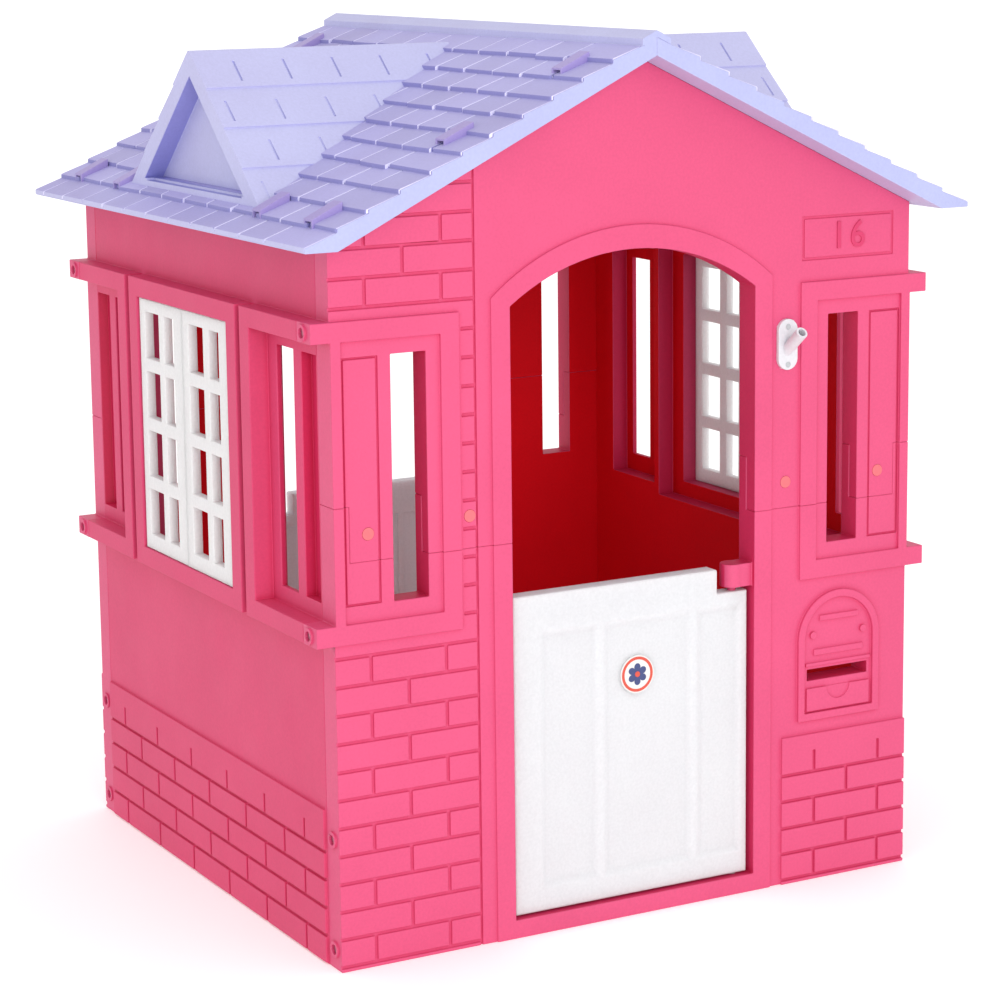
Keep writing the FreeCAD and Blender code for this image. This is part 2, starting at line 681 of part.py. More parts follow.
def side_wall(word, side):
    """One side wall, drawn on the right and turned half round for the left."""
    top_in = "roof_under_ridge - roof_slope * (half_width - side_thick)"
    top_out = "roof_under_ridge - roof_slope * half_width"
    long_span = ("gable_thick - half_depth", "half_depth - gable_thick")
    panel = prism(f"{word}_side_panel", "xz", [(
        ("half_width - side_thick", "0"), ("half_width", "0"), ("half_width", top_out),
        ("half_width - side_thick", top_in))], long_span)
    raised = [
        side_bays(f"{word}_bays"),
        box(f"{word}_brick_band", ("half_width - 4", "half_width + relief"),
            (-SIDE_BRICK_END, SIDE_BRICK_END), (0, SIDE_BRICK_TOP)),
    ]
    tabs = []
    for end in (-1, 1):
        for height in CORNER_HEIGHTS:
            label = f"{word}_tab_{'front' if end < 0 else 'back'}_{round(height)}"
            tabs.append(box(label, (f"half_width - {TAB_FROM_FACE[1]}", f"half_width - {TAB_FROM_FACE[0]}"),
                            sided("half_depth - gable_thick - 2", f"{CORNER_Y} + {TAB_PAST_SCREW}", end),
                            around(height, TAB_HALF)))
        tabs.append(box(f"{word}_roof_tab_{'front' if end < 0 else 'back'}", around(SIDE_TAB_RUN, TAB_RUN),
                        sided(SIDE_HOOK_Y - TAB_WIDE, SIDE_HOOK_Y + TAB_WIDE, end),
                        (f"roof_under_ridge - roof_slope * {SIDE_TAB_RUN} - {TAB_ROOT}",
                         f"roof_base_ridge - roof_slope * {SIDE_TAB_RUN} + {TAB_RISE}")))
    opening = ("half_width - side_thick - 1", "half_width + bay_proud + 1")
    cuts = [
        box(f"{word}_shutter_bay", opening, ("-shutter_half - shutter_gap", "shutter_half + shutter_gap"),
            ("frame_bottom + rail + 1", "frame_top - rail - 1")),
        box(f"{word}_middle_back", ("half_width - side_thick - 1", "half_width - side_thick + bay_proud"),
            ("-bay_groove_inner", "bay_groove_inner"), ("frame_bottom + 4", "frame_top - 4")),
    ]
    for end in (-1, 1):
        label = f"{word}_{'front' if end < 0 else 'back'}"
        cuts.append(box(f"{label}_slot", opening, sided("side_slot_inner", "side_slot_outer", end),
                        ("slot_bottom", "slot_top")))
        cuts.append(box(f"{label}_channel", ("half_width - channel_depth", "half_width + 1"),
                        sided("side_bar_outer", "side_channel_outer", end), ("slot_bottom", "slot_top")))
        cuts.append(box(f"{label}_back", ("half_width - side_thick - 1", "half_width - bay_web"),
                        sided("bay_groove_outer", "side_bar_outer - 6", end),
                        ("frame_bottom + rail - 5", "frame_top - rail + 5")))
        for row, (low, high) in (("low", ("frame_bottom + rail - peg_length", "frame_bottom + rail + 2")),
                                 ("high", ("frame_top - rail - 2", "frame_top - rail + peg_length"))):
            cuts.append(rod(f"{label}_peg_hole_{row}", "z", "peg_radius + running_gap",
                            ("half_width + bay_proud - shutter_sink - shutter_thick / 2",
                             f"{end} * (shutter_half - shutter_thick / 2 - 0.5)"), (low, high)))
        for height in CORNER_HEIGHTS:
            cuts.append(rod(f"{label}_pilot_{round(height)}", "x", "screw_radius + 0.1",
                            (f"{end} * ({CORNER_Y})", height), ("half_width - 31", "half_width")))
    joints = [[SIDE_BRICK_LENGTH * (step + shift) for step in range(6)] for shift in (-2.5, -2)]
    joints[1].pop()
    depth_span = ("half_width", "half_width + relief + 1")
    line_ends = SIDE_BRICK_LINES[1:] + (SIDE_BRICK_LINES[-1] + SIDE_TOP_JOINT,)
    for number, (line, line_end) in enumerate(zip(SIDE_BRICK_LINES, line_ends)):
        cuts.append(box(f"{word}_bed_{number}", depth_span, (-SIDE_BRICK_END - 1, SIDE_BRICK_END + 1),
                        around(line, "groove_width / 2")))
        for place, joint in enumerate(joints[number % 2]):
            cuts.append(box(f"{word}_joint_{number}_{place}", depth_span, around(joint, "groove_width / 2"),
                            (line, line_end)))
    body = less(f"{word}_side_body", union(f"{word}_side_solid", [panel] + raised + tabs), cuts)
    node(f"{word}_side_wall", body, side < 0)


# Courses of shingles on a slope, shingles in a course, and the size of the joints between them.
COURSES = 11
SHINGLES = 12
JOINT_WIDE = 1.6
JOINT_DEEP = 3.5
JOINT_FROM_EDGE = 2


def roof_z(run, lift=0):
    """Height of the slope's base plane at a distance from the ridge, plus a lift."""
    return f"roof_base_ridge - roof_slope * ({run}) + {lift}"


def course_edge(number):
    """Distance from the ridge to the lower edge of a course, counted from the eave."""
    return f"roof_half_width - course_run * {number}"


def roof_slab(name):
    """The stepped slab of one slope, drawn on the right."""
    outline = [("0", "roof_under_ridge"), ("(roof_under_ridge - eave_bottom) / roof_slope", "eave_bottom"),
               ("roof_half_width", "eave_bottom")]
    for number in range(COURSES + 1):
        edge = course_edge(number)
        if number:
            outline.append((edge, roof_z(edge)))
        outline.append((edge, roof_z(edge, "butt")))
    outline[-1] = ("0", "roof_base_ridge")
    return prism(name, "xz", [tuple(outline)], ("-roof_half_depth", "roof_half_depth"))


def shingle_joints(name):
    """Upright joints between shingles, staggered from course to course."""
    cuts = []
    for parity in (0, 1):
        quads = []
        for number in range(parity, COURSES, 2):
            low = course_edge(number)
            high = course_edge(number + 1)
            edge = f"{low} + {JOINT_FROM_EDGE}"
            quads.append(((edge, roof_z(low, f"butt - {JOINT_DEEP}")), (edge, roof_z(low, "butt + 3")),
                          (high, roof_z(high, "3")), (high, roof_z(high, "-3"))))
        band = prism(f"{name}_band_{parity}", "xz", quads, ("-roof_half_depth - 1", "roof_half_depth + 1"))
        shift = 0 if parity else 0.5
        combs = [box(f"{name}_tooth_{parity}_{number}", (0, 600),
                     around(f"shingle_width * {number - SHINGLES / 2 + shift}", JOINT_WIDE), (900, 1300))
                 for number in range(1, SHINGLES)]
        cuts.append(common(f"{name}_set_{parity}", [band, union(f"{name}_comb_{parity}", combs)]))
    return cuts


# Bands on each slope of a dormer and the short slits in them.
DORMER_BANDS = 4
SLITS = 6
SLIT_FIRST = 441
SLIT_PITCH = 76
SLIT_LENGTH = 40
SLIT_WIDE = 3
SLIT_DEEP = 1
SLIT_FROM_FOOT = 0.42


def dormer_slits(name):
    """Slits square to the dormer's ridge, in every band where they stand above the main slope."""
    slits = []
    half, foot = SIZES["dormer_half"], SIZES["dormer_foot"]
    tilt = (SIZES["dormer_apex"] - foot) / half
    for end in (-1, 1):
        turn = FreeCAD.Rotation(FreeCAD.Vector(1, 0, 0), -end * math.degrees(math.atan(tilt)))
        corner = turn.multVec(FreeCAD.Vector(0, -SLIT_LENGTH / 2, -SLIT_DEEP))
        for band in range(DORMER_BANDS):
            across = half * (DORMER_BANDS - band - SLIT_FROM_FOOT) / DORMER_BANDS
            height = foot + (half - across) * tilt
            for place in range(SLITS):
                run = SLIT_FIRST - SLIT_PITCH * (place + 0.5 * (band % 2))
                if height + 10 > SIZES["roof_base_ridge"] - SIZES["roof_slope"] * run:
                    slit = doc.addObject("Part::Box", f"{name}_slit_{end + 1}_{band}_{place}")
                    bind(slit, "Length", SLIT_WIDE)
                    bind(slit, "Width", SLIT_LENGTH)
                    bind(slit, "Height", SLIT_DEEP + 5)
                    slit.Placement = FreeCAD.Placement(
                        FreeCAD.Vector(run, end * across + corner.y, height + corner.z), turn)
                    slits.append(slit)
    return slits


def dormer(name):
    """A dormer: a stepped gable roof over a triangular face with a sunk panel."""
    steps = DORMER_BANDS
    rise = f"(dormer_apex - dormer_foot) / {steps}"
    right = []
    for number in range(steps):
        across = f"dormer_half * {steps - number} / {steps}"
        height = f"dormer_foot + {rise} * {number}"
        right.append((across, height))
        if number:
            right.append((f"{across} + dormer_step * 0.6", f"{height} + dormer_step * 0.7"))
    left = [(f"-({across})", height) for across, height in reversed(right)]
    outline = [("-dormer_half", "dormer_foot - dormer_skirt"), ("dormer_half", "dormer_foot - dormer_skirt")]
    outline += right + [("3", "dormer_apex"), ("-3", "dormer_apex")] + left
    body = prism(name, "yz", [tuple(outline)], ("dormer_inner", "dormer_face"))
    recess = prism(f"{name}_recess", "yz", [(
        ("-dormer_recess_half", "dormer_recess_foot"), ("dormer_recess_half", "dormer_recess_foot"),
        ("0", "dormer_recess_apex"))], ("dormer_face - dormer_recess_depth", "dormer_face + 1"))
    sill = box(f"{name}_sill", ("dormer_face - 12", "dormer_face + 1"),
               ("-dormer_recess_half + 6", "dormer_recess_half - 6"),
               ("dormer_recess_foot - 3", "dormer_recess_foot + 1"))
    room = prism(f"{name}_room", "xz", [(
        ("-20", "roof_under_ridge + roof_slope * 20"), ("600", "roof_under_ridge - roof_slope * 600"),
        ("600", "800"), ("-20", "800"))], (-300, 300))
    return less(f"{name}_cut", body, [recess, sill, room] + dormer_slits(name))


def hook_parts(name, run, y_middle, tab_run):
    """One hook over a roof tab: its outer block, the hollow under it and the slot for the tab."""
    low = f"{run} + {HOOK_HALF_RUN}"
    high = f"{run} - {HOOK_HALF_RUN}"
    block = prism(f"{name}_block", "xz", [(
        (low, roof_z(low, HOOK_ROOT)), (low, roof_z(low, HOOK_RISE)), (high, roof_z(high, HOOK_RISE)),
        (high, roof_z(high, HOOK_ROOT)))], around(y_middle, HOOK_HALF_WIDE))
    mouth = f"{low} + 3"
    back = f"{high} + {HOOK_BACK_WALL}"
    hollow = prism(f"{name}_hollow", "xz", [(
        (mouth, roof_z(mouth)), (mouth, roof_z(mouth, HOOK_RISE - HOOK_WALL)),
        (back, roof_z(back, HOOK_RISE - HOOK_WALL)), (back, roof_z(back)))],
        around(y_middle, HOOK_HALF_WIDE - HOOK_SIDE_WALL))
    slot = box(f"{name}_slot", around(tab_run, f"{TAB_RUN} + tab_gap"),
               around(y_middle, f"{TAB_WIDE} + tab_gap"), (roof_z(tab_run, "-60"), roof_z(tab_run, "6")))
    return block, hollow, slot


RIDGE_SCREWS = (-330, 0, 330)
RIDGE_SCREW_RUN = 11
RIDGE_SCREW_SEAT = 4
RIDGE_SCREW_END = -16


def roof_half(word, side):
    """One half of the roof; the left one carries the ridge cap."""
    slab = roof_slab(f"{word}_slab")
    pieces = [less(f"{word}_shingled", slab, shingle_joints(f"{word}_joints")), dormer(f"{word}_dormer")]
    cuts = []
    for end in (-1, 1):
        tail = "front" if end < 0 else "back"
        hooks = [(run, f"{end} * ({CORNER_Y})", tab_run) for run, tab_run in zip(HOOK_RUNS, TAB_RUNS)]
        hooks.append((SIDE_HOOK_RUN, end * SIDE_HOOK_Y, SIDE_TAB_RUN))
        for number, (run, y_middle, tab_run) in enumerate(hooks):
            block, hollow, slot = hook_parts(f"{word}_{tail}_hook_{number}", run, y_middle, tab_run)
            pieces.append(block)
            cuts += [hollow, slot]
    cap = []
    for way in ((-1, 1) if side < 0 else ()):
        cap.append(prism(f"{word}_cap_{way + 1}", "xz", [(
            ("0", "roof_base_ridge"), ("0", "roof_base_ridge + ridge_cap_rise"),
            (f"{way} * ridge_cap_half", roof_z("ridge_cap_half", "ridge_cap_rise")),
            (f"{way} * ridge_cap_half", roof_z("ridge_cap_half")))],
            ("-roof_half_depth", "roof_half_depth")))
    whole = union(f"{word}_roof_solid", pieces + cap)
    screw_x = f"{side} * {RIDGE_SCREW_RUN}"
    for number, place in enumerate(RIDGE_SCREWS):
        cuts.append(rod(f"{word}_ridge_hole_{number}", "z", "screw_radius + 0.1", (screw_x, place),
                        (roof_z(RIDGE_SCREW_RUN, RIDGE_SCREW_END - 1), roof_z(RIDGE_SCREW_RUN, "20"))))
        if side < 0:
            cuts.append(rod(f"{word}_ridge_bore_{number}", "z", "screw_head_radius + 0.3", (screw_x, place),
                            (roof_z(RIDGE_SCREW_RUN, RIDGE_SCREW_SEAT), roof_z(RIDGE_SCREW_RUN, "20"))))
    node(f"roof_{word}", less(f"{word}_roof", whole, cuts), side < 0)


def ridge_screws():
    """Screws through the ridge cap into the right half of the roof."""
    screws = []
    for number, place in enumerate(RIDGE_SCREWS):
        spot = (RIDGE_SCREW_RUN, place)
        screws.append(union(f"ridge_screw_{number}", [
            rod(f"ridge_head_{number}", "z", "screw_head_radius - 0.5", spot,
                (roof_z(RIDGE_SCREW_RUN, RIDGE_SCREW_SEAT),
                 roof_z(RIDGE_SCREW_RUN, f"{RIDGE_SCREW_SEAT} + screw_head_height"))),
            rod(f"ridge_shank_{number}", "z", "screw_radius", spot,
                (roof_z(RIDGE_SCREW_RUN, RIDGE_SCREW_END), roof_z(RIDGE_SCREW_RUN, RIDGE_SCREW_SEAT + 1))),
        ]))
    node("ridge_screws", group("ridge_screw_set", screws))


DOOR_PANELS = ((-150, -58), (-49, 94), (103, 176))
DOOR_PANEL_LOW = 62
DOOR_PANEL_HIGH = 425
DOOR_SOCKET_DEEP = 27
DOOR_PIN_DEEP = 25
BADGE_PLACE = (6.5, 345)
BADGE_RADIUS = 27
BADGE_THICK = 1.2


def half_door(word, turned):
    """A half door with sunk panels, a foot peg and a blind hole for the upper pin."""
    pin_x = "door_half - hinge_inset"
    faces = ("-half_depth + door_recess", "-half_depth + door_recess + door_thick")
    axis_y = "-half_depth + door_recess + door_thick / 2"
    bottom = "threshold + 3"
    leaf = box(f"{word}_leaf", ("door_gap - door_half", pin_x), faces, (bottom, "door_top"))
    edge = common(f"{word}_edge", [
        rod(f"{word}_edge_round", "z", "hinge_edge_radius", (pin_x, axis_y), (bottom, "door_shoulder")),
        box(f"{word}_edge_block", (f"{pin_x} - 2", "door_half"), faces, (bottom, "door_shoulder")),
    ])
    foot = rod(f"{word}_foot", "z", "foot_peg_radius", (pin_x, axis_y),
               (f"threshold - {FOOT_PEG_LENGTH}", f"{bottom} + 5"))
    cuts = [
        box(f"{word}_notch", ("door_notch", "door_half"), (f"{OUTER} - 20", f"{INNER} + 20"),
            ("door_shoulder", "door_top + 1")),
        rod(f"{word}_socket", "z", "hinge_pin_radius + running_gap", (pin_x, axis_y),
            (f"door_shoulder - {DOOR_SOCKET_DEEP}", "door_shoulder + 1")),
    ]
    for number, across in enumerate(DOOR_PANELS):
        for face, span in (("out", (f"{OUTER} - 9", "-half_depth + door_recess + groove_depth")),
                           ("in", ("-half_depth + door_recess + door_thick - groove_depth", f"{INNER} + 9"))):
            cuts.append(box(f"{word}_panel_{face}_{number}", across, span, (DOOR_PANEL_LOW, DOOR_PANEL_HIGH)))
    solid = union(f"{word}_door_solid", [leaf, edge, foot])
    node(f"{word}_door", less(f"{word}_door_body", solid, cuts), turned)
    pin = rod(f"{word}_pin", "z", "hinge_pin_radius", (pin_x, axis_y),
              (f"door_shoulder - {DOOR_PIN_DEEP}", f"hinge_arm_top - {HINGE_ARM_ROOF}"))
    node(f"{word}_door_pin", group(f"{word}_pin_set", [pin]), turned)


def door_badge():
    """A thin round label on the front door's middle panel."""
    spot = "-half_depth + door_recess + groove_depth"
    node("door_badge", rod("badge", "y", BADGE_RADIUS, BADGE_PLACE, (f"{spot} - {BADGE_THICK}", spot)))


def shutter(wall, end):
    """One shutter leaf with two columns of panes and a peg at each end of its hinge edge."""
    name = f"{wall}_{end}"
    front = end == "front"
    side = -1 if wall == "left" else 1
    outer = "half_width + bay_proud - shutter_sink"
    span = sided(f"{outer} - shutter_thick", outer, side)
    leaf_z = ("frame_bottom + rail + 2", "frame_top - rail - 2")
    hinge = "shutter_half - shutter_thick / 2 - 0.5"
    way = -1 if front else 1
    flat = box(f"{name}_flat", span, sided("shutter_gap", hinge, way), leaf_z)
    centre = (f"{side} * ({outer} - shutter_thick / 2)", f"{way} * ({hinge})")
    knuckle = rod(f"{name}_knuckle", "z", "shutter_thick / 2", centre, leaf_z)
    peg = rod(f"{name}_pegs", "z", "peg_radius", centre,
              ("frame_bottom + rail - peg_length + 1", "frame_top - rail + peg_length - 1"))
    start = "-shutter_half" if front else "0"
    first = f"{start} + pane_first"
    second = f"{first} + pane_narrow + pane_post"
    cuts = []
    for column, (near, wide) in enumerate(((first, "pane_narrow"), (second, "pane_wide"))):
        for row in range(4):
            foot = f"pane_bottom + pane_rise * {row}"
            cuts.append(box(f"{name}_pane_{column}_{row}", sided("half_width", "half_width + 60", side),
                            (near, f"{near} + {wide}"), (foot, f"{foot} + pane_height")))
    node(f"{wall}_{end}_shutter",
         less(f"{name}_leaf", union(f"{name}_solid", [flat, knuckle, peg]), cuts))


gable_wall("front", True)
gable_wall("back", False)
side_wall("left", -1)
side_wall("right", 1)
roof_half("left", -1)
roof_half("right", 1)
ridge_screws()
half_door("front", False)
half_door("back", True)
door_badge()
flag_holder()
seam_fasteners("front", False)
seam_fasteners("back", True)
corner_screws(-1)
corner_screws(1)
for wall_word in ("left", "right"):
    for end_word in ("front", "back"):
        shutter(wall_word, end_word)

doc.recompute()
for thing in doc.Objects:
    bad = [state for state in thing.State if state in ("Invalid", "Error")]
    if bad:
        raise RuntimeError(f"{thing.Label} did not compute: {bad}")
os.makedirs("parts", exist_ok=True)
for piece in nodes:
    if piece.Shape.isNull() or not piece.Shape.isValid() or piece.Shape.Volume <= 0:
        raise RuntimeError(f"{piece.Label} has no sound shape")
    piece.Shape.exportStep(f"parts/{piece.Label}.step")
    size = piece.Shape.BoundBox
    print(f"{piece.Label}: solids {len(piece.Shape.Solids)}, litres {piece.Shape.Volume / 1e6:.3f}, "
          f"x {size.XMin:.1f}..{size.XMax:.1f}, y {size.YMin:.1f}..{size.YMax:.1f}, "
          f"z {size.ZMin:.1f}..{size.ZMax:.1f}")
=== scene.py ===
"""Looks for a blow-moulded plastic playhouse: softened mouldings, plastic finishes, light and camera."""
import math
import random

import bmesh
import bpy
import numpy as np
from mathutils import Matrix, Vector
from mathutils.geometry import delaunay_2d_cdt, intersect_point_line


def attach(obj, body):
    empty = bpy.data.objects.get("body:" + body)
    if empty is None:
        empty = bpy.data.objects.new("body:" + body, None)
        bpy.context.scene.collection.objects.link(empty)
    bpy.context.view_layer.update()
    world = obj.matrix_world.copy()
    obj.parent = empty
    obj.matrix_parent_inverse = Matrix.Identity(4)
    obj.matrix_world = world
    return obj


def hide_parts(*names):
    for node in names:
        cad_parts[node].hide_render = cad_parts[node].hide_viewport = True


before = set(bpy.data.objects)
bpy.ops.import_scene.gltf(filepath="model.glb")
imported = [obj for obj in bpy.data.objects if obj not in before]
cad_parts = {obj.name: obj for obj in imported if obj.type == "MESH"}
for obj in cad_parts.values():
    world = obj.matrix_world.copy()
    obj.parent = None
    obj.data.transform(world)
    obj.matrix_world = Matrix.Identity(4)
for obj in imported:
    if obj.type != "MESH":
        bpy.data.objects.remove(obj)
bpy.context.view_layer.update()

MM = 0.001

WALLS = ("front_wall_lower", "front_wall_upper", "back_wall_lower", "back_wall_upper",
         "left_side_wall", "right_side_wall")
ROOFS = ("roof_left", "roof_right")
SHUTTERS = ("left_front_shutter", "left_back_shutter", "right_front_shutter", "right_back_shutter")
SCREWS = ("ridge_screws", "flag_holder_screws", "front_seam_screws", "back_seam_screws",
          "left_corner_screws", "right_corner_screws")
PLUGS = ("front_seam_plugs", "back_seam_plugs")
PINS = ("front_door_pin", "back_door_pin")


def linked(tree, kind, inputs=None, **settings):
    """A new shader node with its settings, its plain input values and the sockets that feed it."""
    node = tree.nodes.new(kind)
    for name, value in settings.items():
        setattr(node, name, value)
    for name, value in (inputs or {}).items():
        if isinstance(value, bpy.types.NodeSocket):
            tree.links.new(value, node.inputs[name])
        else:
            node.inputs[name].default_value = value
    return node


def noise(tree, place, scale, detail, roughness=0.5):
    """Cloudy noise over an object."""
    inputs = {"Vector": place, "Scale": scale, "Detail": detail, "Roughness": roughness}
    return linked(tree, "ShaderNodeTexNoise", inputs).outputs["Fac"]


def moved(tree, value, low, high, start=0.0, end=1.0):
    """A value taken from one range to another."""
    inputs = {"Value": value, "From Min": start, "From Max": end, "To Min": low, "To Max": high}
    return linked(tree, "ShaderNodeMapRange", inputs).outputs["Result"]


def mixed(tree, share, first, second, blend="MIX"):
    """Two colours laid over each other."""
    inputs = {"Factor": share, 6: first, 7: second}
    return linked(tree, "ShaderNodeMix", inputs, data_type="RGBA", blend_type=blend).outputs[2]


def occlusion(tree, reach, inside=False):
    """How open a place is: small in grooves, or on thin edges when it is looked for inside."""
    node = linked(tree, "ShaderNodeAmbientOcclusion", {"Distance": reach}, samples=6, only_local=True,
                  inside=inside)
    return node.outputs["AO"]


def scaled(colour, share):
    """A colour with each part multiplied."""
    return (*(part * times for part, times in zip(colour, share)), 1.0)


# In m: reach of the painted shade in grooves and of the wear on edges, depth of ripple, of grain and of glow.
GROOVE_SHADE_REACH = 0.009
WEAR_REACH = 0.0022
RIPPLE_DEPTH = 0.004
GRAIN_DEPTH = 0.0002
GLOW_DEPTH = 0.03


def moulded_plastic(name, colour, roughness, variation=0.05, grain=1.0, haze=0.25,
                    groove_shade=(0.86, 0.34, 0.56), islands=0.0, gloss=0.3, glow=0.0):
    """Blow-moulded polyethylene: uneven tint, painted shade deepening the colour in grooves, paler on worn
    edges, pebble grain, slow wall ripple and a satin gloss that smears."""
    material = bpy.data.materials.new(name)
    material.use_nodes = True
    tree = material.node_tree
    shader = tree.nodes["Principled BSDF"]
    place = linked(tree, "ShaderNodeTexCoord").outputs["Object"]

    tint = linked(tree, "ShaderNodeValToRGB", {"Fac": noise(tree, place, 5.0, 6.0, 0.55)})
    deep, light = tint.color_ramp.elements
    deep.position = 0.32
    light.position = 0.70
    deep.color = scaled(colour, (1 - variation, 1 - 1.5 * variation, 1 - 1.2 * variation))
    light.color = scaled(colour, (1 + variation / 2,) * 3)
    dots = moved(tree, noise(tree, place, 260.0, 3.0), 0.965, 1.035, 0.3, 0.7)
    if islands:
        chance = linked(tree, "ShaderNodeNewGeometry").outputs["Random Per Island"]
        each = moved(tree, chance, 1 - islands, 1 + islands)
        dots = linked(tree, "ShaderNodeMath", {0: dots, 1: each}, operation="MULTIPLY").outputs[0]
    look = mixed(tree, 1.0, tint.outputs["Color"], dots, "MULTIPLY")
    # Painted shade: where little is open round a place, its colour is pulled towards the groove shade share.
    openness = moved(tree, occlusion(tree, GROOVE_SHADE_REACH), 0.0, 1.0, 0.45, 0.93)
    look = mixed(tree, openness, scaled(colour, groove_shade), look)
    wear = moved(tree, occlusion(tree, WEAR_REACH, inside=True), 0.0, 0.16, 0.75, 0.4)
    pale = [0.75 * part + 0.25 for part in colour]
    tree.links.new(mixed(tree, wear, look, (*pale, 1.0)), shader.inputs["Base Color"])

    smears = moved(tree, noise(tree, place, 14.0, 5.0), roughness - 0.06, roughness + 0.08)
    tree.links.new(smears, shader.inputs["Roughness"])
    ripple = linked(tree, "ShaderNodeBump", {"Strength": haze, "Distance": RIPPLE_DEPTH,
                                             "Height": noise(tree, place, 11.0, 1.5)})
    pebbles = linked(tree, "ShaderNodeBump", {"Strength": 0.22 * grain, "Distance": GRAIN_DEPTH,
                                              "Height": noise(tree, place, 620.0, 2.0),
                                              "Normal": ripple.outputs["Normal"]})
    tree.links.new(pebbles.outputs["Normal"], shader.inputs["Normal"])
    shader.inputs["IOR"].default_value = 1.5
    shader.inputs["Specular IOR Level"].default_value = gloss
    shader.inputs["Subsurface Weight"].default_value = glow
    shader.inputs["Subsurface Radius"].default_value = (1, 1, 1)
    shader.inputs["Subsurface Scale"].default_value = GLOW_DEPTH
    return material


def zinc_steel(name):
    """Zinc plate: bright metal with a fine cloudy bloom."""
    material = bpy.data.materials.new(name)
    material.use_nodes = True
    tree = material.node_tree
    shader = tree.nodes["Principled BSDF"]
    shader.inputs["Metallic"].default_value = 1.0
    place = linked(tree, "ShaderNodeTexCoord").outputs["Object"]
    bloom = noise(tree, place, 340.0, 4.0)
    tint = linked(tree, "ShaderNodeValToRGB", {"Fac": bloom})
    dull, bright = tint.color_ramp.elements
    dull.color = (0.42, 0.43, 0.46, 1)
    bright.color = (0.68, 0.68, 0.70, 1)
    tree.links.new(tint.outputs["Color"], shader.inputs["Base Color"])
    tree.links.new(moved(tree, bloom, 0.28, 0.46), shader.inputs["Roughness"])
    return material


# Share of each colour that is left in a groove, as painted shade.
LAVENDER_GROOVE_SHADE = (0.80, 0.80, 0.92)
FAINT_GROOVE_SHADE = (0.94, 0.94, 1.0)
WHITE_GROOVE_SHADE = (0.93, 0.93, 0.94)
PINK = moulded_plastic("pink_plastic", (0.67, 0.078, 0.19), 0.46)
# Painted shade: a darker, duller copy of the pink for the side walls, standing in for how light falls on
# them.
PINK_SIDE_SHADE = moulded_plastic("pink_side_painted_shade", (0.65, 0.062, 0.16), 0.5, gloss=0.2)
NUMERAL_PINK = moulded_plastic("numeral_plastic", (0.60, 0.04, 0.13), 0.46)
# Painted shade: a darker copy of the pink for jambs and side channels, where shade falls in the openings.
PINK_JAMB_SHADE = moulded_plastic("pink_jamb_painted_shade", (0.60, 0.025, 0.10), 0.5, gloss=0.2)
# Painted shade: a deep, saturated copy of the pink for the faces inside the house, standing in for its shade.
PINK_INNER_SHADE = moulded_plastic("pink_inner_painted_shade", (0.74, 0.004, 0.012), 0.6, gloss=0.08)
LAVENDER = moulded_plastic("lavender_plastic", (0.505, 0.505, 0.75), 0.5, groove_shade=FAINT_GROOVE_SHADE)
# Painted shade: a darker copy of the lavender for the fascias at the gable ends.
FASCIA_SHADE = moulded_plastic("fascia_painted_shade", (0.41, 0.435, 0.69), 0.5, groove_shade=FAINT_GROOVE_SHADE)
# Painted shade: a darker copy of the lavender for the jambs inside the dormer recesses.
DORMER_JAMB_SHADE = moulded_plastic("dormer_jamb_painted_shade", (0.31, 0.31, 0.65), 0.55, groove_shade=FAINT_GROOVE_SHADE)
SHINGLE = moulded_plastic("shingle_plastic", (0.435, 0.41, 0.715), 0.55, variation=0.07, grain=1.6,
                          groove_shade=LAVENDER_GROOVE_SHADE, islands=0.06)
# Painted shade: a darker copy of the shingle colour for the butts under each course and round the hooks.
SHINGLE_BUTT_SHADE = moulded_plastic("shingle_butt_painted_shade", (0.28, 0.27, 0.56), 0.55, groove_shade=LAVENDER_GROOVE_SHADE)
# Painted highlight: a paler copy of the shingle colour for the joint sides that face the light.
SHINGLE_SIDE_HIGHLIGHT = moulded_plastic("shingle_side_painted_highlight", (0.74, 0.72, 0.93), 0.5, groove_shade=(1, 1, 1))
HOOK_MAUVE = moulded_plastic("hook_plastic", (0.37, 0.30, 0.60), 0.42, groove_shade=LAVENDER_GROOVE_SHADE)
DOOR_WHITE = moulded_plastic("door_white", (0.665, 0.675, 0.69), 0.42, variation=0.02, groove_shade=WHITE_GROOVE_SHADE,
                             glow=0.8)
SHUTTER_WHITE = moulded_plastic("shutter_white", (0.71, 0.71, 0.71), 0.4, variation=0.02, haze=0.12,
                                groove_shade=WHITE_GROOVE_SHADE, glow=0.8)
TRIM_WHITE = moulded_plastic("trim_white", (0.66, 0.645, 0.68), 0.3, variation=0.02, haze=0.1,
                             groove_shade=WHITE_GROOVE_SHADE)
CORAL = moulded_plastic("coral_plastic", (0.76, 0.15, 0.17), 0.4, haze=0.0)
BADGE_PAPER = moulded_plastic("badge_paper", (0.72, 0.71, 0.69), 0.3, haze=0.0, grain=0.3,
                              groove_shade=WHITE_GROOVE_SHADE)
BADGE_RING = moulded_plastic("badge_ring_print", (0.62, 0.05, 0.02), 0.3, haze=0.0, grain=0.3)
BADGE_BLUE = moulded_plastic("badge_flower_print", (0.02, 0.035, 0.16), 0.3, haze=0.0, grain=0.3)
ZINC = zinc_steel("zinc_steel")


# Angles between faces: one flat area, an edge to round, shaded as one surface, meeting at a corner.
FLAT_ANGLE = math.radians(0.6)
SHARP_ANGLE = math.radians(40)
DOOR_EDGE_ANGLE = math.radians(15)
SMOOTH_ANGLE = math.radians(50)
CORNER_ANGLE = math.radians(140)
# Roundings under this radius, in m, are left out; points this close are one; share of a gap one may take.
TINY_ROUND = 0.0003
SAME_PLACE = 0.00002
GAP_SHARE = 0.42


